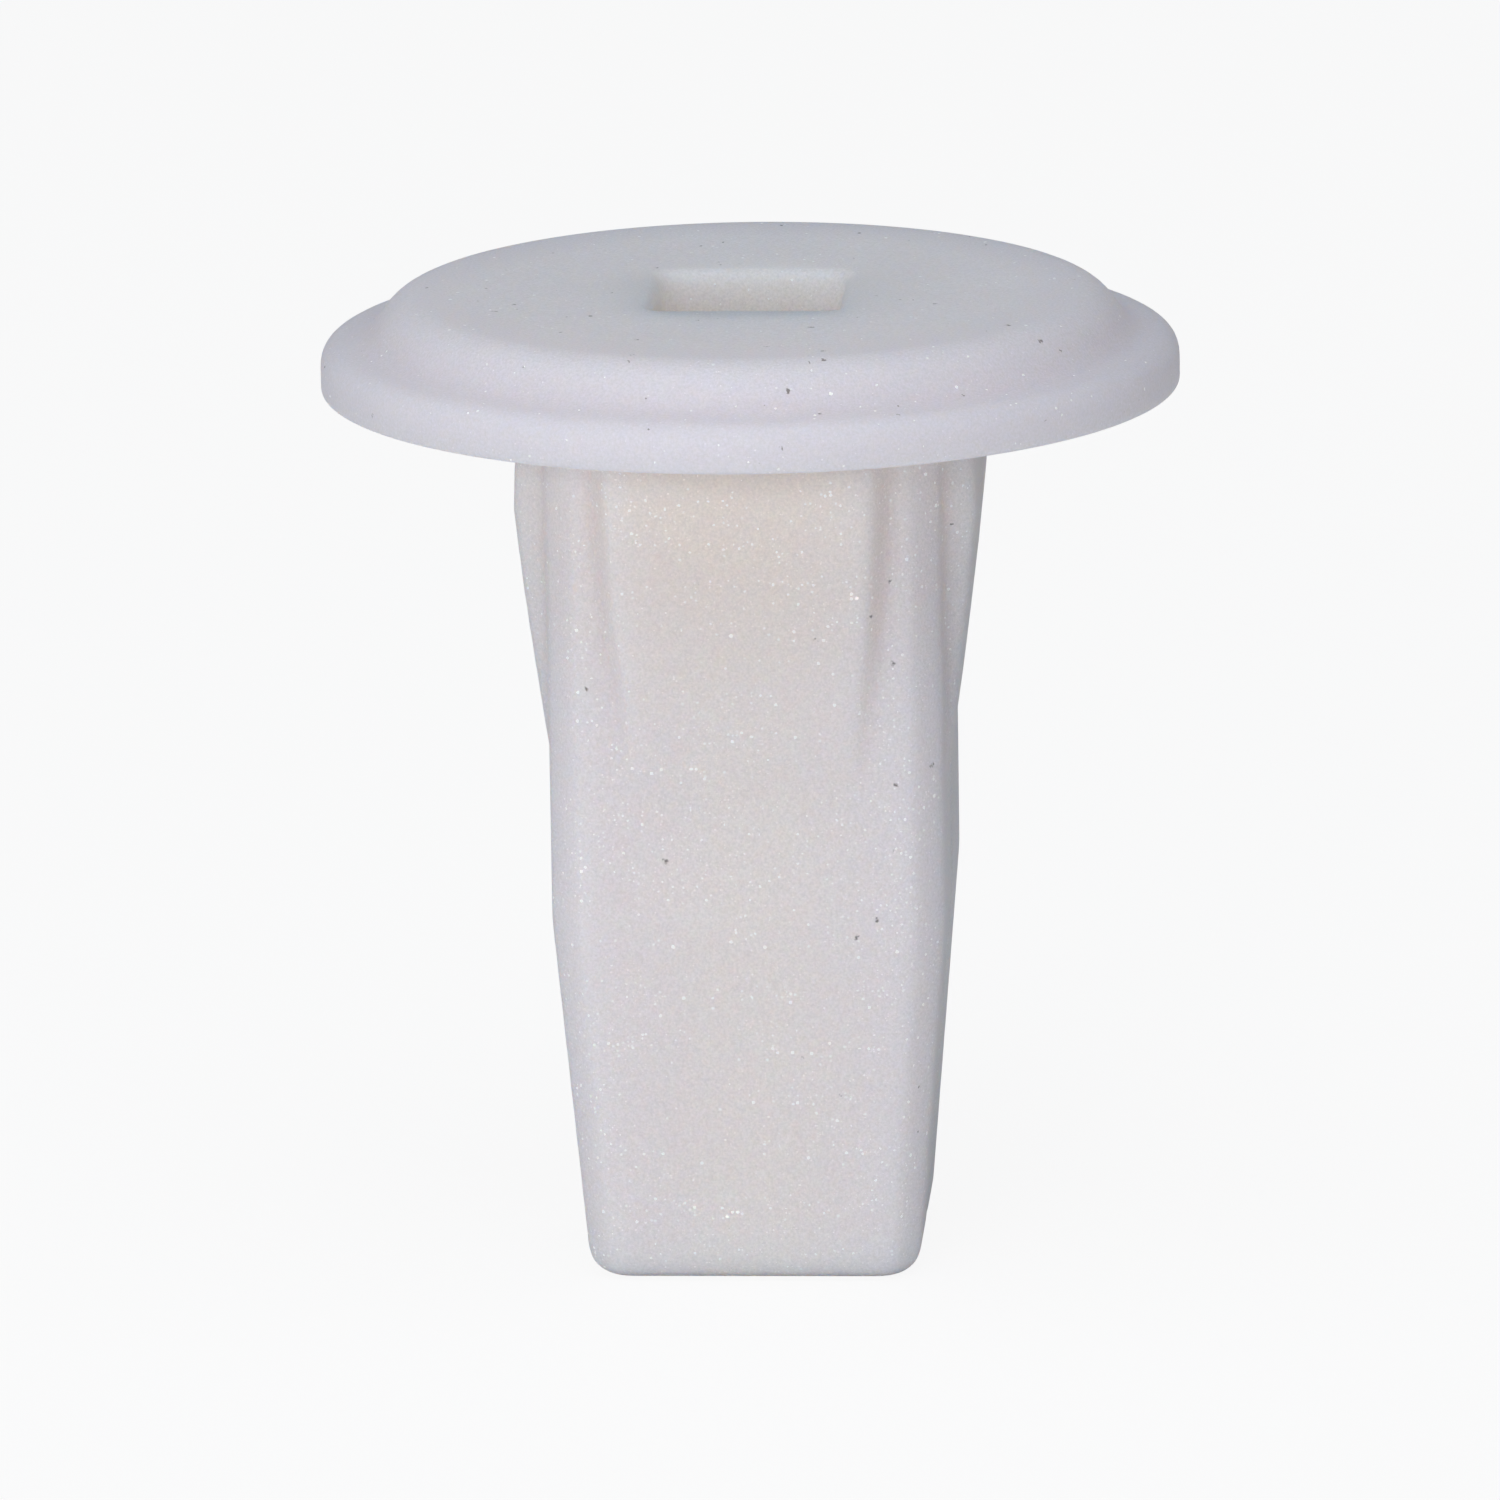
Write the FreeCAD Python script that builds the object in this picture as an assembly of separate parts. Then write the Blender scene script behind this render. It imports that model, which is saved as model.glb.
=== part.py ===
import FreeCAD, Part
import os

# Push-in nylon screw anchor for a square panel hole. Millimetres, +Z up out of the panel.
# Origin: centre of the flange's seat face, on the anchor's axis.

# driving dimensions
shankWidth = 7.4          # across the flats, for an 8 mm square hole
cornerCut = 0.56          # leg of the 45 degree corner chamfers
screwHole = 3.5           # square, for a 4.8 mm self-tapping screw
tipWidth = 6.2
tipZ = -16.72
taperZ = -9.65            # the shank tapers below this height
hingeZ = -7.2             # the slit starts here, and the legs bend here
slitWidth = 0.5
tipEdge = 0.35            # chamfer round the tip's outer edge

flangeRadius = 8.08
edgeHeight = 0.88
rootRelief = 0.15         # depth of the relief round the shank's root
reliefRadius = 5.4
ringFootRadius = 7.2
ringFootZ = 0.99
crestInner = 6.25
crestOuter = 6.57
crestZ = 1.77
troughRadius = 4.3
troughZ = 1.7
bossRadius = 3.0
bossZ = 1.76
seatRounding = 0.13
edgeRounding = 0.4
footRounding = 0.5
crestRounding = 0.25

lugTopZ = -0.45           # the lugs start here, under a sheet metal panel
lugShoulderZ = -0.8
lugPeakZ = -1.9
lugEndZ = -7.0
lugShoulder = 0.52        # how far the shoulder stands out
lugPeak = 0.63            # the lugs' greatest height over the shank
lugBaseWidth = 5.6
lugEndWidth = 4.1
lugSideDraft = 0.35       # each side wall leans in by this much at the peak

wedgeTopZ = -7.6
wedgeTip = 1.0            # thickness of each wedge at the tip


def chamferedSquare(width, z, cut=cornerCut):
    h = width / 2
    c = h - cut
    corners = [(c, -h), (h, -c), (h, c), (c, h), (-c, h), (-h, c), (-h, -c), (-c, -h)]
    points = [FreeCAD.Vector(x, y, z) for x, y in corners]
    return Part.makePolygon(points + points[:1])


def squarePrism(width, lowZ, highZ):
    return Part.makeBox(width, width, highZ - lowZ, FreeCAD.Vector(-width / 2, -width / 2, lowZ))


def flange():
    profile = [
        (0, rootRelief), (reliefRadius, rootRelief), (reliefRadius, 0), (flangeRadius, 0),
        (flangeRadius, edgeHeight), (ringFootRadius, ringFootZ), (crestOuter, crestZ),
        (crestInner, crestZ), (troughRadius, troughZ), (bossRadius, bossZ), (0, bossZ),
    ]
    points = [FreeCAD.Vector(r, 0, z) for r, z in profile]
    face = Part.Face(Part.makePolygon(points + points[:1]))
    disc = face.revolve(FreeCAD.Vector(0, 0, 0), FreeCAD.Vector(0, 0, 1), 360)
    disc = roundRims(disc, [
        (flangeRadius, 0, seatRounding), (flangeRadius, edgeHeight, edgeRounding),
        (ringFootRadius, ringFootZ, footRounding), (crestOuter, crestZ, crestRounding)])
    return disc.cut(squarePrism(screwHole, -1, crestZ + 1))


def roundRims(solid, rims):
    for radius, z, fillet in rims:
        edges = [
            e for e in solid.Edges
            if isinstance(e.Curve, Part.Circle) and abs(e.Curve.Radius - radius) < 0.01
            and abs(e.Curve.Center.z - z) < 0.01
        ]
        solid = solid.makeFillet(fillet, edges)
    return solid


def upperSleeve():
    tube = Part.Face(chamferedSquare(shankWidth, hingeZ)).extrude(
        FreeCAD.Vector(0, 0, rootRelief - hingeZ))
    return tube.cut(squarePrism(screwHole, hingeZ - 1, 1))


def frontLug():
    face = -shankWidth / 2
    side = [
        (face, lugTopZ), (face - lugShoulder, lugShoulderZ), (face - lugPeak, lugPeakZ),
        (face, lugEndZ),
    ]
    points = [FreeCAD.Vector(-lugBaseWidth / 2, y, z) for y, z in side]
    wedge = Part.Face(Part.makePolygon(points + points[:1])).extrude(
        FreeCAD.Vector(lugBaseWidth, 0, 0))
    lower = lugOutline(face, 0)
    upper = lugOutline(face - lugPeak, lugSideDraft)
    return wedge.common(Part.makeLoft([lower, upper], True, True))


def lugOutline(y, draft):
    """The lug seen from outside, narrowing downwards, at one depth."""
    top = lugBaseWidth / 2 - draft
    bottom = lugEndWidth / 2 - draft
    corners = [(-top, lugTopZ), (top, lugTopZ), (bottom, lugEndZ), (-bottom, lugEndZ)]
    points = [FreeCAD.Vector(x, y, z) for x, z in corners]
    return Part.makePolygon(points + points[:1])


def frontLeg():
    straight = Part.Face(chamferedSquare(shankWidth, taperZ)).extrude(
        FreeCAD.Vector(0, 0, hingeZ - taperZ))
    edgeZ = tipZ + tipEdge
    slope = (shankWidth - tipWidth) / (taperZ - tipZ)
    edgeWidth = tipWidth + slope * tipEdge
    taper = Part.makeLoft(
        [chamferedSquare(shankWidth, taperZ), chamferedSquare(edgeWidth, edgeZ)], True, True)
    tip = Part.makeLoft(
        [chamferedSquare(edgeWidth, edgeZ), chamferedSquare(edgeWidth - 2 * tipEdge, tipZ)],
        True, True)
    shank = straight.fuse([taper, tip]).cut(squarePrism(screwHole, tipZ - 1, hingeZ + 1))
    half = Part.makeBox(
        shankWidth + 2, shankWidth, hingeZ - tipZ + 2,
        FreeCAD.Vector(-shankWidth / 2 - 1, -shankWidth - slitWidth / 2, tipZ - 1))
    return shank.common(half).removeSplitter()


def frontWedge():
    wall = -screwHole / 2
    side = [(wall, wedgeTopZ), (wall, tipZ), (wall + wedgeTip, tipZ)]
    points = [FreeCAD.Vector(wall, y, z) for y, z in side]
    return Part.Face(Part.makePolygon(points + points[:1])).extrude(
        FreeCAD.Vector(screwHole, 0, 0))


def turned(shape, degrees):
    copy = shape.copy()
    copy.rotate(FreeCAD.Vector(0, 0, 0), FreeCAD.Vector(0, 0, 1), degrees)
    return copy


def saveNode(name, shape):
    if not shape.isValid() or len(shape.Solids) != 1:
        raise ValueError(f"{name}: {len(shape.Solids)} solids, valid {shape.isValid()}")
    shape.Solids[0].exportStep(f"parts/{name}.step")
    print(f"{name}: {shape.Volume:.2f} mm3")


os.makedirs("parts", exist_ok=True)
saveNode("flange", flange())
saveNode("upper_sleeve", upperSleeve())
for place, degrees in (("front", 0), ("right", 90), ("back", 180), ("left", 270)):
    saveNode(f"lug_{place}", turned(frontLug(), degrees))
for place, degrees in (("front", 0), ("back", 180)):
    saveNode(f"{place}_leg", turned(frontLeg(), degrees))
    saveNode(f"{place}_wedge", turned(frontWedge(), degrees))
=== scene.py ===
import math
import bmesh
import bpy
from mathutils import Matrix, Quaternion, Vector


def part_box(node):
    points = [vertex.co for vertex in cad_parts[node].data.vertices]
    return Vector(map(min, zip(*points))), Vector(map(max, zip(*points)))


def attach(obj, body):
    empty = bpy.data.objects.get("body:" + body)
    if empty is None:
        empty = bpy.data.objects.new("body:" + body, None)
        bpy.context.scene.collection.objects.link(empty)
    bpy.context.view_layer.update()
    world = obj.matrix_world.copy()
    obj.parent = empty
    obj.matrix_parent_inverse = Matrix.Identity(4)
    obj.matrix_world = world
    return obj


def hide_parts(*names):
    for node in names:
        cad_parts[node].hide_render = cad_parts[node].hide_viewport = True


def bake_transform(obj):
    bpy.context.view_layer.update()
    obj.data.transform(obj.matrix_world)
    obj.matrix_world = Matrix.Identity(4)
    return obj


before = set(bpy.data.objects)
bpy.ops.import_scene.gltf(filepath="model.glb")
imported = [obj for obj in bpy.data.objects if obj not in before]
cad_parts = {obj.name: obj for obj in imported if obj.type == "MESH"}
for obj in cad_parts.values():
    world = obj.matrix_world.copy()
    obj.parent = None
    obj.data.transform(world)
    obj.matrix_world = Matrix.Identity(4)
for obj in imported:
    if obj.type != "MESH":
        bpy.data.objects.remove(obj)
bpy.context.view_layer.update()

mm = 0.001
scene = bpy.context.scene

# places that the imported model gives, in metres
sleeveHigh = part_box("upper_sleeve")[1]
legLow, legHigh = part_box("front_leg")
hingeZ = legHigh.z
tipZ = legLow.z
shankHalf = sleeveHigh.x
overreach = mm           # how far a cutter runs past what it cuts
print("frame loaded, hinge at", round(hingeZ / mm, 2), "mm")


def activate(obj):
    bpy.ops.object.select_all(action="DESELECT")
    obj.select_set(True)
    bpy.context.view_layer.objects.active = obj


def startEdit(obj, mode="VERT"):
    activate(obj)
    bpy.ops.object.mode_set(mode="EDIT")
    bpy.ops.mesh.select_mode(type=mode)
    bpy.ops.mesh.select_all(action="DESELECT")


def endEdit():
    bpy.ops.object.mode_set(mode="OBJECT")


def pickVerts(obj, test):
    bm = bmesh.from_edit_mesh(obj.data)
    for v in bm.verts:
        v.select_set(bool(test(v.co)))
    bm.select_flush_mode()
    bmesh.update_edit_mesh(obj.data)


def pickEdges(obj, test):
    bm = bmesh.from_edit_mesh(obj.data)
    for e in bm.edges:
        e.select_set(bool(test(e.verts[0].co, e.verts[1].co)))
    bmesh.update_edit_mesh(obj.data)


def pickFaces(obj, test):
    bm = bmesh.from_edit_mesh(obj.data)
    for f in bm.faces:
        f.select_set(bool(test(f.calc_center_median(), f.normal)))
    bmesh.update_edit_mesh(obj.data)


def near(a, b, slack=0.02 * mm):
    return abs(a - b) < slack


def block(name, low, high):
    middle = [(a + b) / 2 for a, b in zip(low, high)]
    size = [b - a for a, b in zip(low, high)]
    bpy.ops.object.select_all(action="DESELECT")
    bpy.ops.mesh.primitive_cube_add(size=1, location=middle, scale=size)
    obj = bpy.context.object
    obj.name = name
    bpy.ops.object.transform_apply(location=True, rotation=True, scale=True)
    return obj


def applyModifier(obj, kind, **settings):
    activate(obj)
    modifier = obj.modifiers.new(kind.title(), kind)
    for key, value in settings.items():
        setattr(modifier, key, value)
    bpy.ops.object.modifier_apply(modifier=modifier.name)


def combine(obj, other, operation):
    applyModifier(obj, "BOOLEAN", operation=operation, object=other, solver="EXACT")
    bpy.data.objects.remove(other, do_unlink=True)


flangeShape = {
    "sides": 192,
    "hole": 3.5 * mm,
    "reliefRadius": 5.4 * mm,
    "relief": 0.15 * mm,
    # corners of the section from the seat, up and over to the hole: radius, height, rounding
    "section": [
        (8.08 * mm, 0.0, 0.1 * mm), (8.08 * mm, 0.89 * mm, 0.51 * mm),
        (7.2 * mm, 0.985 * mm, 0.64 * mm), (6.63 * mm, 1.8 * mm, 1.3 * mm),
        (5.3 * mm, 1.78 * mm, 1.5 * mm), (4.2 * mm, 1.755 * mm, 4.0 * mm),
        (2.7 * mm, 1.78 * mm, 2.0 * mm), (1.6 * mm, 1.79 * mm, 0),
    ],
    "roundSteps": 8,
    "holeCorner": 0.4 * mm,
    "lipRound": 0.26 * mm,
    "lipTurn": math.radians(84),    # how far the flare turns before it leaves the top
    "smoothAngle": math.radians(32),
}


def roundedSection(corners, steps):
    points = []
    last = len(corners) - 1
    for i, (r, z, rounding) in enumerate(corners):
        here = Vector((r, z))
        before = Vector(corners[i - 1][:2]) if i else Vector((0, z))
        after = Vector(corners[min(i + 1, last)][:2])
        if not rounding:
            points.append(here)
            continue
        into, out = (before - here).normalized(), (after - here).normalized()
        half = into.angle(out) / 2
        reach = min(rounding / math.tan(half), 0.49 * (before - here).length,
                    0.49 * (after - here).length)
        start, end = here + into * reach, here + out * reach
        for n in range(steps + 1):
            t = n / steps
            points.append(start.lerp(here, t).lerp(here.lerp(end, t), t))
    return points


def makeFlange():
    s = flangeShape
    section = roundedSection(s["section"], s["roundSteps"])
    bpy.ops.object.select_all(action="DESELECT")
    bpy.ops.mesh.primitive_circle_add(
        vertices=s["sides"], radius=section[0].x, fill_type="NGON", location=(0, 0, section[0].y))
    obj = bpy.context.object
    obj.name = "flange_moulding"
    startEdit(obj, "FACE")
    bpy.ops.mesh.select_all(action="SELECT")
    for now, then in zip(section, section[1:]):
        bpy.ops.mesh.extrude_region_move(TRANSFORM_OT_translate={"value": (0, 0, then.y - now.y)})
        share = then.x / now.x
        bpy.ops.transform.resize(value=(share, share, 1), center_override=(0, 0, then.y))
    # shallow relief round the shank's root on the underside
    pickFaces(obj, lambda c, n: abs(n.z) > 0.99 and c.length < 0.1 * mm)
    share = s["reliefRadius"] / section[0].x
    bpy.ops.mesh.extrude_region_move(TRANSFORM_OT_translate={"value": (0, 0, 0)})
    bpy.ops.transform.resize(value=(share, share, 1), center_override=(0, 0, 0))
    bpy.ops.mesh.extrude_region_move(TRANSFORM_OT_translate={"value": (0, 0, s["relief"])})
    bpy.ops.mesh.select_all(action="SELECT")
    bpy.ops.mesh.normals_make_consistent(inside=False)
    endEdit()
    combine(obj, makeHoleCutter(), "DIFFERENCE")
    activate(obj)
    bpy.ops.object.shade_smooth_by_angle(angle=s["smoothAngle"])
    return obj


def makeHoleCutter():
    # square, with round corners, and flared at the top so that it leaves a soft lip
    s = flangeShape
    half, lip = s["hole"] / 2, s["lipRound"]
    top = s["section"][-1][1] - lip
    cutter = block("hole_cutter", (-half, -half, -overreach), (half, half, top))
    roundUprights(cutter, s["holeCorner"])
    startEdit(cutter, "FACE")
    pickFaces(cutter, lambda c, n: n.z > 0.9)
    reach, height = half, top
    for step in range(1, s["roundSteps"] + 1):
        turn = s["lipTurn"] * step / s["roundSteps"]
        wide, high = half + lip * (1 - math.cos(turn)), top + lip * math.sin(turn)
        bpy.ops.mesh.extrude_region_move(TRANSFORM_OT_translate={"value": (0, 0, high - height)})
        bpy.ops.transform.resize(value=(wide / reach,) * 2 + (1,), center_override=(0, 0, high))
        reach, height = wide, high
    bpy.ops.mesh.extrude_region_move(TRANSFORM_OT_translate={"value": (0, 0, overreach)})
    endEdit()
    return cutter


def roundUprights(obj, radius):
    startEdit(obj, "EDGE")
    pickEdges(obj, lambda a, b: near(a.x, b.x) and near(a.y, b.y))
    bpy.ops.mesh.bevel(offset=radius, segments=5, affect="EDGES")
    endEdit()


shankShape = {
    "cornerCut": 0.56 * mm,
    "taperZ": -9.65 * mm,
    "tipWidth": 6.2 * mm,
    "tipRound": 0.5 * mm,
    "hole": 3.5 * mm,
    "wedgeTopZ": -7.6 * mm,
    "wedgeGap": 1.5 * mm,        # what the wedges leave open at the tip
    "slit": 0.5 * mm,
    "slitAcross": 12 * mm,       # its cutter's width, more than the shank's
    "hollowTopZ": 2 * mm,        # above the shank's top end
    "sunk": 0.1 * mm,            # how far the shank's top reaches into the flange
    "voxel": 0.085 * mm,
    "softening": 18,             # rounds of smoothing after the union
    "smoothAngle": math.radians(50),
}

lugShape = {
    # height along the shank, how far it stands out, half its width
    "rows": [
        (-0.42 * mm, 0.0, 2.81 * mm), (-0.72 * mm, 0.53 * mm, 2.80 * mm),
        (-1.05 * mm, 0.61 * mm, 2.79 * mm), (-1.95 * mm, 0.64 * mm, 2.78 * mm),
        (-3.5 * mm, 0.475 * mm, 2.62 * mm), (-4.75 * mm, 0.32 * mm, 2.43 * mm),
        (-5.9 * mm, 0.17 * mm, 2.23 * mm), (-7.05 * mm, 0.0, 2.06 * mm),
    ],
    "sideDraft": 0.34 * mm,
    "root": 0.3 * mm,            # how deep it reaches into the shank's wall
}


def makeShankBody():
    s = shankShape
    top = sleeveHigh.z + s["sunk"]
    obj = block("shank", (-shankHalf, -shankHalf, tipZ), (shankHalf, shankHalf, top))
    startEdit(obj, "EDGE")
    pickEdges(obj, lambda a, b: near(a.x, b.x) and near(a.y, b.y))
    bpy.ops.mesh.bevel(offset=s["cornerCut"], segments=1, affect="EDGES")
    bpy.ops.mesh.select_all(action="SELECT")
    bpy.ops.mesh.bisect(plane_co=(0, 0, s["taperZ"]), plane_no=(0, 0, 1))
    pickVerts(obj, lambda p: near(p.z, tipZ))
    share = s["tipWidth"] / (2 * shankHalf)
    bpy.ops.transform.resize(value=(share, share, 1), center_override=(0, 0, tipZ))
    bpy.ops.mesh.select_mode(type="EDGE")
    pickEdges(obj, lambda a, b: near(a.z, tipZ) and near(b.z, tipZ))
    bpy.ops.mesh.bevel(offset=s["tipRound"], segments=6, affect="EDGES")
    endEdit()
    return obj


def cutHollow(shank):
    s = shankShape
    half, endZ = s["hole"] / 2, tipZ - overreach
    hollow = block("hollow", (-half, -half, endZ), (half, half, s["hollowTopZ"]))
    roundUprights(hollow, flangeShape["holeCorner"])
    startEdit(hollow)
    bpy.ops.mesh.select_all(action="SELECT")
    bpy.ops.mesh.bisect(plane_co=(0, 0, s["wedgeTopZ"]), plane_no=(0, 0, 1))
    # the wedges close in evenly down to the tip, and the cutter ends a little past it
    reach = (s["wedgeTopZ"] - endZ) / (s["wedgeTopZ"] - tipZ)
    gap = s["hole"] - (s["hole"] - s["wedgeGap"]) * reach
    pickVerts(hollow, lambda p: near(p.z, endZ))
    bpy.ops.transform.resize(value=(1, gap / s["hole"], 1), center_override=(0, 0, tipZ))
    endEdit()
    combine(shank, hollow, "DIFFERENCE")
    across, thick = s["slitAcross"] / 2, s["slit"] / 2
    slit = block("slit", (-across, -thick, endZ), (across, thick, hingeZ))
    combine(shank, slit, "DIFFERENCE")


def makeLug():
    s = lugShape
    rows = s["rows"]
    face = -shankHalf
    peak = max(out for z, out, half in rows)
    widest = rows[0][2]
    lug = block("lug", (-widest, face - peak, rows[-1][0]), (widest, face + s["root"], rows[0][0]))
    startEdit(lug)
    for z, out, half in rows[1:-1]:
        bpy.ops.mesh.select_all(action="SELECT")
        bpy.ops.mesh.bisect(plane_co=(0, 0, z), plane_no=(0, 0, 1))
    for z, out, half in rows:
        pickVerts(lug, lambda p: near(p.z, z) and p.y > face)
        flare = (half + s["sideDraft"] * s["root"] / peak) / widest
        bpy.ops.transform.resize(value=(flare, 1, 1), center_override=(0, 0, z))
        pickVerts(lug, lambda p: near(p.z, z) and p.y < face)
        inward = (half - s["sideDraft"] * out / peak) / widest
        bpy.ops.transform.resize(value=(inward, 1, 1), center_override=(0, 0, z))
        bpy.ops.transform.translate(value=(0, peak - out, 0))
    endEdit()
    return lug


def addLugs(shank):
    for quarter in range(4):
        lug = makeLug()
        activate(lug)
        lug.rotation_euler.z = quarter * math.pi / 2
        bpy.ops.object.transform_apply(location=True, rotation=True, scale=True)
        combine(shank, lug, "UNION")


def halfOf(shank, name, side):
    activate(shank)
    bpy.ops.object.duplicate()
    half = bpy.context.object
    half.name = name
    startEdit(half)
    bpy.ops.mesh.select_all(action="SELECT")
    bpy.ops.mesh.bisect(
        plane_co=(0, 0, 0), plane_no=(0, side, 0), use_fill=True, clear_inner=True)
    endEdit()
    activate(half)
    bpy.ops.object.shade_smooth_by_angle(angle=shankShape["smoothAngle"])
    return half


def makeShank():
    s = shankShape
    shank = makeShankBody()
    cutHollow(shank)
    addLugs(shank)
    applyModifier(shank, "REMESH", mode="VOXEL", voxel_size=s["voxel"])
    applyModifier(shank, "SMOOTH", factor=0.5, iterations=s["softening"])
    front = halfOf(shank, "front_moulding", -1)
    back = halfOf(shank, "back_moulding", 1)
    bpy.data.objects.remove(shank, do_unlink=True)
    return front, back


def newGroup(name, inputs, outputs):
    group = bpy.data.node_groups.new(name, "ShaderNodeTree")
    for label, kind, value in inputs:
        socket = group.interface.new_socket(label, in_out="INPUT", socket_type=kind)
        if value is not None:
            socket.default_value = value
    for label, kind in outputs:
        group.interface.new_socket(label, in_out="OUTPUT", socket_type=kind)
    return group, group.nodes.new("NodeGroupInput"), group.nodes.new("NodeGroupOutput")


def addNode(tree, kind, values=None, **settings):
    node = tree.nodes.new(kind)
    for key, value in settings.items():
        setattr(node, key, value)
    for key, value in (values or {}).items():
        if isinstance(value, bpy.types.NodeSocket):
            tree.links.new(value, node.inputs[key])
        else:
            node.inputs[key].default_value = value
    return node


def maths(tree, operation, first, second, third=0.0, clamp=False):
    return addNode(tree, "ShaderNodeMath", {0: first, 1: second, 2: third},
                   operation=operation, use_clamp=clamp).outputs[0]


def rampBetween(tree, value, low, high):
    return addNode(tree, "ShaderNodeMapRange", {
        "Value": value, "From Min": low, "From Max": high}, clamp=True).outputs[0]


def mixColours(tree, share, first, second):
    node = addNode(tree, "ShaderNodeMix", {"Factor": share}, data_type="RGBA")
    for socket, value in ((node.inputs[6], first), (node.inputs[7], second)):
        if isinstance(value, bpy.types.NodeSocket):
            tree.links.new(value, socket)
        else:
            socket.default_value = value
    return node.outputs[2]


def makeGrainGroup():
    group, entry, leave = newGroup(
        "moulded grain",
        [("Vector", "NodeSocketVector", None), ("Grain per mm", "NodeSocketFloat", 14.0),
         ("Waviness per mm", "NodeSocketFloat", 0.45)],
        [("Height", "NodeSocketFloat"), ("Mottle", "NodeSocketFloat"), ("Fine", "NodeSocketFloat")])
    fine = addNode(group, "ShaderNodeTexNoise", {
        "Vector": entry.outputs["Vector"], "Scale": entry.outputs["Grain per mm"],
        "Detail": 3.0, "Roughness": 0.7})
    wave = addNode(group, "ShaderNodeTexNoise", {
        "Vector": entry.outputs["Vector"], "Scale": entry.outputs["Waviness per mm"],
        "Detail": 2.0, "Roughness": 0.5})
    height = maths(group, "MULTIPLY_ADD", wave.outputs["Fac"], 2.4, fine.outputs["Fac"])
    group.links.new(height, leave.inputs["Height"])
    group.links.new(rampBetween(group, wave.outputs["Fac"], 0.32, 0.68), leave.inputs["Mottle"])
    group.links.new(rampBetween(group, fine.outputs["Fac"], 0.25, 0.75), leave.inputs["Fine"])
    return group


def makeFlecksGroup():
    group, entry, leave = newGroup(
        "flecks",
        [("Vector", "NodeSocketVector", None), ("Cells per mm", "NodeSocketFloat", 4.0),
         ("Size", "NodeSocketFloat", 0.12), ("Share", "NodeSocketFloat", 0.2),
         ("Raggedness", "NodeSocketFloat", 0.0)],
        [("Mask", "NodeSocketFloat"), ("Glint", "NodeSocketFloat")])
    raggedScale = maths(group, "MULTIPLY", entry.outputs["Cells per mm"], 4.0)
    ragged = addNode(group, "ShaderNodeTexNoise", {
        "Vector": entry.outputs["Vector"], "Scale": raggedScale, "Detail": 2.0})
    pull = addNode(group, "ShaderNodeVectorMath", {
        0: ragged.outputs["Color"], "Scale": entry.outputs["Raggedness"]}, operation="SCALE")
    place = addNode(group, "ShaderNodeVectorMath", {
        0: entry.outputs["Vector"], 1: pull.outputs[0]}, operation="ADD")
    cells = addNode(group, "ShaderNodeTexVoronoi", {
        "Vector": place.outputs[0], "Scale": entry.outputs["Cells per mm"]})
    chance = addNode(group, "ShaderNodeSeparateColor", {"Color": cells.outputs["Color"]})
    # the flecks come in loose drifts
    drift = addNode(group, "ShaderNodeTexNoise", {
        "Vector": entry.outputs["Vector"], "Scale": 0.55, "Detail": 2.0})
    crowding = addNode(group, "ShaderNodeMapRange", {
        "Value": drift.outputs[0], "From Min": 0.38, "From Max": 0.62, "To Min": 0.25, "To Max": 1.75})
    share = maths(group, "MULTIPLY", entry.outputs["Share"], crowding.outputs[0])
    chosen = maths(group, "LESS_THAN", chance.outputs["Red"], share)
    # each fleck has its own size
    size = maths(group, "MULTIPLY", chance.outputs["Green"], entry.outputs["Size"])
    edge = maths(group, "MULTIPLY", size, 0.5)
    spot = addNode(group, "ShaderNodeMapRange", {
        "Value": cells.outputs["Distance"], "From Min": size, "From Max": edge})
    mask = maths(group, "MULTIPLY", chosen, spot.outputs[0])
    group.links.new(mask, leave.inputs["Mask"])
    # a few flecks catch much more light than the rest
    brightness = maths(group, "POWER", chance.outputs["Blue"], 3.0)
    group.links.new(maths(group, "MULTIPLY", mask, brightness), leave.inputs["Glint"])
    return group


# "At", "From" and "To" are distances in mm, and the shares are out of every cell
# both looks are the same nylon, and their edge, middle and warm colours are painted light: cooler shade
# on the flange and at the rims and edges, and a warm glow where light scatters through
flangeNylonLook = {
    "edge": (0.785, 0.737, 0.83, 1), "middle": (0.968, 0.918, 0.943, 1),
    "warm": (0.985, 0.935, 0.92, 1), "edgeAt": 8.2, "middleAt": 5.0,
    "warmFrom": 3.4, "warmTo": 1.6, "depth": 4.0 * mm,
    "sparkleShare": 0.06, "glitterShare": 0.15, "speckShare": 0.3,
    "grain": 19.0, "bump": 0.4, "roughness": 0.5,
}

shankNylonLook = {
    "edge": (0.912, 0.87, 0.912, 1), "middle": (0.962, 0.906, 0.896, 1),
    "warm": (0.94, 0.865, 0.802, 1), "edgeAt": 3.3, "middleAt": 0.6,
    "warmFrom": -5.5, "warmTo": -0.6, "depth": 1.9 * mm,
    "sparkleShare": 0.28, "glitterShare": 0.5, "speckShare": 0.12,
    "grain": 19.0, "bump": 0.7, "roughness": 0.46,
}

# cells per mm, greatest radius in cells, how ragged the outline is
fleckKinds = {
    "sparkle": (11.0, 0.42, 0.05),
    "glitter": (23.0, 0.5, 0.02),
    "speck": (2.8, 0.17, 0.19),
}

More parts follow.
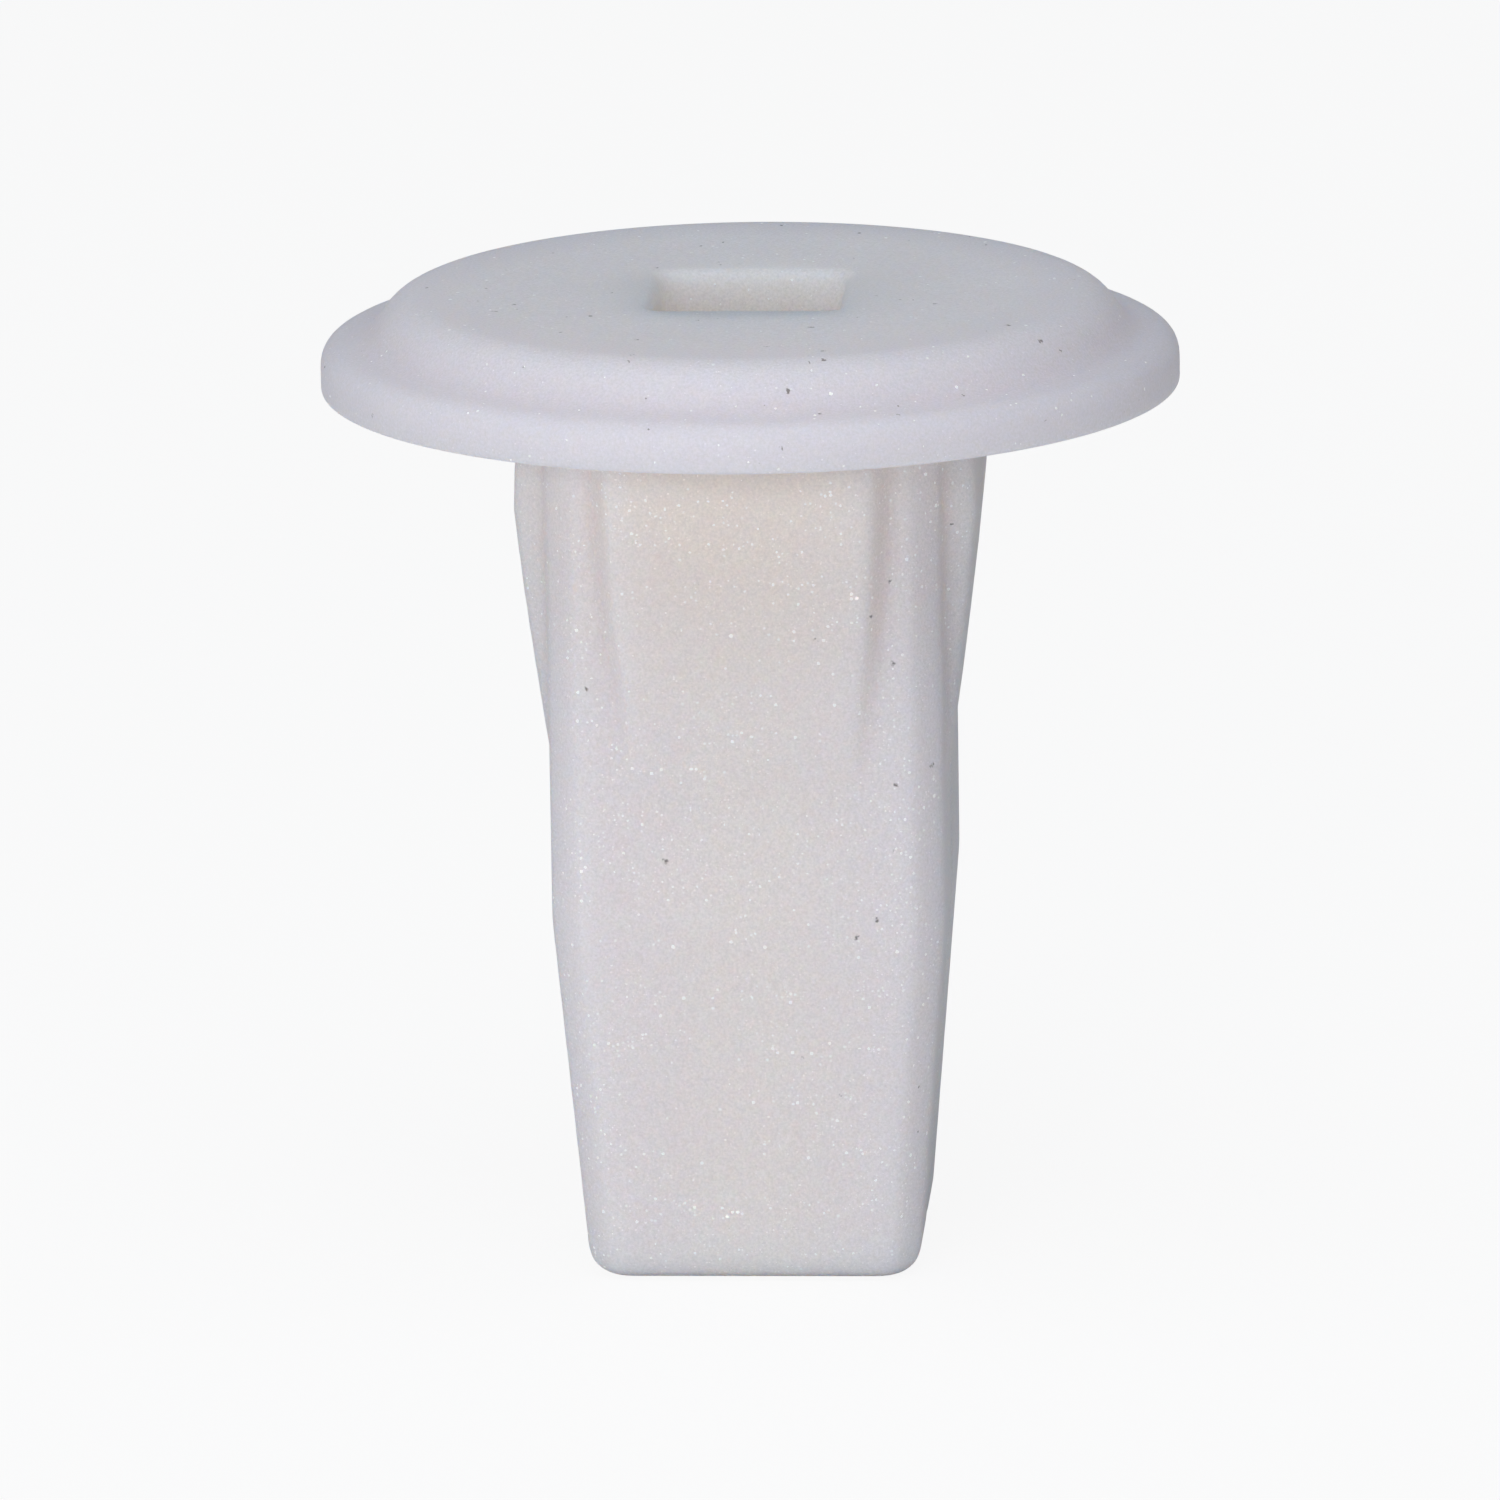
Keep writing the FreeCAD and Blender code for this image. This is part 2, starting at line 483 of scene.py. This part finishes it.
scatter = (1.0, 0.75, 0.55)               # red light travels furthest through the plastic
nylonIor = 1.5
cornerWarmth = 0.4                        # how much of the painted warm glow reaches the shank's corners
grainShade = 0.42                         # how strongly the fine grain darkens the surface
grainColour = (0.5, 0.48, 0.47, 1)
bumpDepth = 0.02 * mm
mottleRoughness = 0.1
sparkleGloss = 0.32                       # how much less rough a sparkle is
speckStrength = 0.8
speckColour = (0.16, 0.14, 0.13, 1)
sparkleHighlightColour = (1, 1, 1, 1)
glintColour = (0.6, 0.58, 0.56, 1)
glitterGlintColour = (0.22, 0.21, 0.21, 1)
paintedInsideGlow = (0.46, 0.44, 0.44, 1)        # painted glow for the scattered light that the moulding holds


def makeFlangePaintedLight(tree, place, look):
    # painted light: a warm glow by the hole, where the plastic is thickest and light scatters through
    # it, and painted cool shade at the rim
    spot = addNode(tree, "ShaderNodeSeparateXYZ", {"Vector": place})
    flat = addNode(tree, "ShaderNodeCombineXYZ", {"X": spot.outputs["X"], "Y": spot.outputs["Y"]})
    radius = addNode(tree, "ShaderNodeVectorMath", {0: flat.outputs[0]}, operation="LENGTH")
    middle = rampBetween(tree, radius.outputs["Value"], look["edgeAt"], look["middleAt"])
    colour = mixColours(tree, middle, look["edge"], look["middle"])
    warmth = rampBetween(tree, radius.outputs["Value"], look["warmFrom"], look["warmTo"])
    return mixColours(tree, warmth, colour, look["warm"])


def makeShankPaintedLight(tree, place, look):
    # painted light: cool shade towards the corners, a warmer glow along the middle of each flat, and
    # the warmest painted glow under the flange, where light scatters through from it
    spot = addNode(tree, "ShaderNodeSeparateXYZ", {"Vector": place})
    aside = [maths(tree, "ABSOLUTE", spot.outputs[axis], 0.0) for axis in "XY"]
    fromMiddle = maths(tree, "MINIMUM", *aside)
    middle = rampBetween(tree, fromMiddle, look["edgeAt"], look["middleAt"])
    colour = mixColours(tree, middle, look["edge"], look["middle"])
    warmth = rampBetween(tree, spot.outputs["Z"], look["warmFrom"], look["warmTo"])
    reach = maths(tree, "MULTIPLY_ADD", middle, 1 - cornerWarmth, cornerWarmth)
    warmth = maths(tree, "MULTIPLY", warmth, reach)
    return mixColours(tree, warmth, colour, look["warm"])


def makeNylon(name, look, makePaintedLight, grainGroup, flecksGroup):
    material = bpy.data.materials.new(name)
    material.use_nodes = True
    material.cycles.emission_sampling = "NONE"
    tree = material.node_tree
    shader = tree.nodes["Principled BSDF"]
    shader.inputs["Subsurface Weight"].default_value = 1.0
    shader.inputs["Subsurface Radius"].default_value = scatter
    shader.inputs["Subsurface Scale"].default_value = look["depth"]
    shader.inputs["IOR"].default_value = nylonIor
    where = addNode(tree, "ShaderNodeTexCoord")
    inMm = addNode(tree, "ShaderNodeMapping", {
        "Vector": where.outputs["Object"], "Scale": (1 / mm, 1 / mm, 1 / mm)})
    place = inMm.outputs[0]
    grain = addNode(tree, "ShaderNodeGroup", node_tree=grainGroup)
    tree.links.new(place, grain.inputs["Vector"])
    grain.inputs["Grain per mm"].default_value = look["grain"]
    sparkle, sparkleGlint = addFlecks(tree, flecksGroup, place, "sparkle", look)
    # the glitter flecks give only painted glints
    glitterGlint = addFlecks(tree, flecksGroup, place, "glitter", look)[1]
    speck = addFlecks(tree, flecksGroup, place, "speck", look)[0]
    colour = makePaintedLight(tree, place, look)
    shade = maths(tree, "MULTIPLY", maths(tree, "SUBTRACT", 1.0, grain.outputs["Fine"]), grainShade)
    colour = mixColours(tree, shade, colour, grainColour)
    # painted highlight: the sparkle flecks are whitened in the base colour
    colour = mixColours(tree, sparkle, colour, sparkleHighlightColour)
    colour = mixColours(tree, maths(tree, "MULTIPLY", speck, speckStrength), colour, speckColour)
    rough = maths(tree, "MULTIPLY_ADD", grain.outputs["Mottle"], mottleRoughness, look["roughness"])
    gloss = maths(tree, "MULTIPLY", sparkle, sparkleGloss)
    rough = maths(tree, "SUBTRACT", rough, gloss, clamp=True)
    tree.links.new(rough, shader.inputs["Roughness"])
    bump = addNode(tree, "ShaderNodeBump", {
        "Strength": look["bump"], "Distance": bumpDepth, "Height": grain.outputs["Height"]})
    tree.links.new(bump.outputs["Normal"], shader.inputs["Normal"])
    # the pieces meet inside the moulding, and only there is a back face ever seen: it gets a black base
    # colour and a painted even glow in its emission, standing in for the light scattered inside
    side = addNode(tree, "ShaderNodeNewGeometry")
    colour = mixColours(tree, side.outputs["Backfacing"], colour, (0, 0, 0, 1))
    tree.links.new(colour, shader.inputs["Base Color"])
    # painted glints: the sparkle and glitter flecks glow through the emission colour
    glint = mixColours(tree, sparkleGlint, (0, 0, 0, 1), glintColour)
    glint = mixColours(tree, glitterGlint, glint, glitterGlintColour)
    glow = mixColours(tree, side.outputs["Backfacing"], glint, paintedInsideGlow)
    tree.links.new(glow, shader.inputs["Emission Color"])
    shader.inputs["Emission Strength"].default_value = 1.0
    return material


def addFlecks(tree, group, place, kind, look):
    cells, size, raggedness = fleckKinds[kind]
    node = addNode(tree, "ShaderNodeGroup", node_tree=group)
    tree.links.new(place, node.inputs["Vector"])
    node.inputs["Cells per mm"].default_value = cells
    node.inputs["Size"].default_value = size
    node.inputs["Share"].default_value = look[kind + "Share"]
    node.inputs["Raggedness"].default_value = raggedness
    return node.outputs["Mask"], node.outputs["Glint"]


studio = {
    "azimuth": 3.5, "elevation": 13.5, "roll": 0.84,
    "distance": 300 * mm, "lens": 380.4,
    "aim": (-0.11 * mm, 0.12 * mm),      # right of and above the anchor's middle, as the camera sees it
    "middleZ": -7.24 * mm,
    "lightAimZ": -7 * mm,
    "floorGlow": 0.9,
    "skyColour": (0.88, 0.93, 1.0, 1), "skyStrength": 0.245,
    # name, place, size, power, colour
    "softBoxes": [
        ("key", (-0.034, -0.128, 0.018), 0.05, 0.047, (1, 0.965, 0.94)),
        ("top", (0.0, -0.1, 0.28), 0.3, 0.42, (0.88, 0.93, 1)),
        ("left", (-0.15, -0.05, 0.06), 0.1, 0.01, (0.85, 0.92, 1)),
        ("spark", (-0.02, -0.12, 0.035), 0.004, 0.008, (1, 0.98, 0.95)),
    ],
}


def makeCamera():
    s = studio
    a, e = math.radians(s["azimuth"]), math.radians(s["elevation"])
    back = Vector((math.sin(a) * math.cos(e), -math.cos(a) * math.cos(e), math.sin(e)))
    right = Vector((math.cos(a), math.sin(a), 0))
    aim = Vector((0, 0, s["middleZ"])) + right * s["aim"][0] + back.cross(right) * s["aim"][1]
    data = bpy.data.cameras.new("camera")
    camera = bpy.data.objects.new("camera", data)
    scene.collection.objects.link(camera)
    camera.location = aim + back * s["distance"]
    camera.rotation_euler = (
        (-back).to_track_quat("-Z", "Y") @ Quaternion((0, 0, 1), math.radians(-s["roll"]))).to_euler()
    data.lens = s["lens"]
    data.clip_start = 5 * mm
    data.clip_end = 20
    scene.camera = camera


def softBox(name, place, size, power, colour):
    data = bpy.data.lights.new(name, "AREA")
    data.shape = "SQUARE"
    data.size = size
    data.energy = power
    data.color = colour
    lamp = bpy.data.objects.new(name, data)
    scene.collection.objects.link(lamp)
    lamp.location = place
    lamp.visible_camera = False
    aim = Vector((0, 0, studio["lightAimZ"])) - Vector(place)
    lamp.rotation_euler = aim.to_track_quat("-Z", "Y").to_euler()
    return lamp


def makeStudio():
    bpy.ops.object.select_all(action="DESELECT")
    bpy.ops.mesh.primitive_plane_add(size=6, location=(0, 0, tipZ))
    floor = bpy.context.object
    floor.name = "floor"
    paint = bpy.data.materials.new("pale floor")
    paint.use_nodes = True
    tree = paint.node_tree
    shader = tree.nodes["Principled BSDF"]
    shader.inputs["Base Color"].default_value = (0.9, 0.9, 0.9, 1)
    shader.inputs["Roughness"].default_value = 0.9
    glow = addNode(tree, "ShaderNodeEmission", {"Color": (1, 1, 1, 1), "Strength": 1.0})
    seen = addNode(tree, "ShaderNodeLightPath")
    share = maths(tree, "MULTIPLY", seen.outputs["Is Camera Ray"], studio["floorGlow"])
    mixed = addNode(tree, "ShaderNodeMixShader", {0: share, 1: shader.outputs[0], 2: glow.outputs[0]})
    tree.links.new(mixed.outputs[0], tree.nodes["Material Output"].inputs["Surface"])
    floor.data.materials.append(paint)
    world = bpy.data.worlds.new("studio")
    world.use_nodes = True
    world.node_tree.nodes["Background"].inputs["Color"].default_value = studio["skyColour"]
    world.node_tree.nodes["Background"].inputs["Strength"].default_value = studio["skyStrength"]
    scene.world = world
    for box in studio["softBoxes"]:
        softBox(*box)
    scene.view_settings.view_transform = "Standard"


flange = makeFlange()
print("flange made,", len(flange.data.polygons), "faces")
front, back = makeShank()
print("shank made,", len(front.data.polygons), "faces a half")

grainGroup = makeGrainGroup()
flecksGroup = makeFlecksGroup()
flangeNylon = makeNylon("flange nylon", flangeNylonLook, makeFlangePaintedLight, grainGroup, flecksGroup)
shankNylon = makeNylon("shank nylon", shankNylonLook, makeShankPaintedLight, grainGroup, flecksGroup)
for piece, nylon in ((flange, flangeNylon), (front, shankNylon), (back, shankNylon)):
    piece.data.materials.clear()
    piece.data.materials.append(nylon)

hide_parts("flange")
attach(flange, "head")
for piece, leg in ((front, "front"), (back, "back")):
    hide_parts("upper_sleeve", "lug_left", "lug_right",
                f"lug_{leg}", f"{leg}_leg", f"{leg}_wedge")
    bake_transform(piece)

makeStudio()
makeCamera()
print("studio set")
